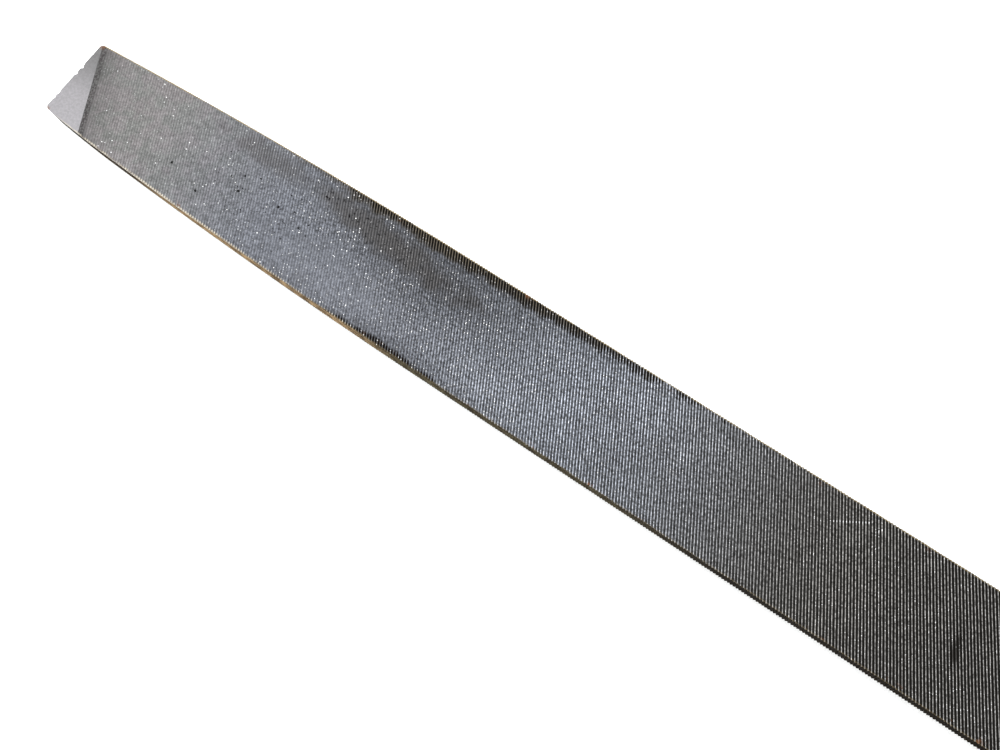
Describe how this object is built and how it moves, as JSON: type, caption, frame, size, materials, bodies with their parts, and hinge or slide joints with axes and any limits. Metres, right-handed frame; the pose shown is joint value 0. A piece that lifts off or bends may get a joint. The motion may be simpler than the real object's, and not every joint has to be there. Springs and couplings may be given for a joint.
{
  "type": "flat file",
  "caption": "Flat hand file: a tapered single-cut blade whose tang is driven into a turned wooden handle with a steel ferrule.",
  "frame": {"origin": "middle of the whole tool's box, on its long axis", "axes": "+X from the blade's tip to the handle's butt, +Z square to the blade's broad faces, +Y across the blade"},
  "size_m": [0.381, 0.029, 0.029],
  "materials": {
    "blade": "worn hardened steel, satin crests over dark gullets",
    "ferrule": "drawn steel, dulled and scratched",
    "handle": "turned beech under worn varnish"
  },
  "bodies": {
    "blade": {"blade": "blade"},
    "handle": {"handle": "handle", "ferrule": "ferrule"}
  },
  "joints": [
    {"name": "handle_pull", "type": "slide", "parent": "blade", "child": "handle", "axis": [1, 0, 0], "range_m": [0, 0.08]}
  ]
}
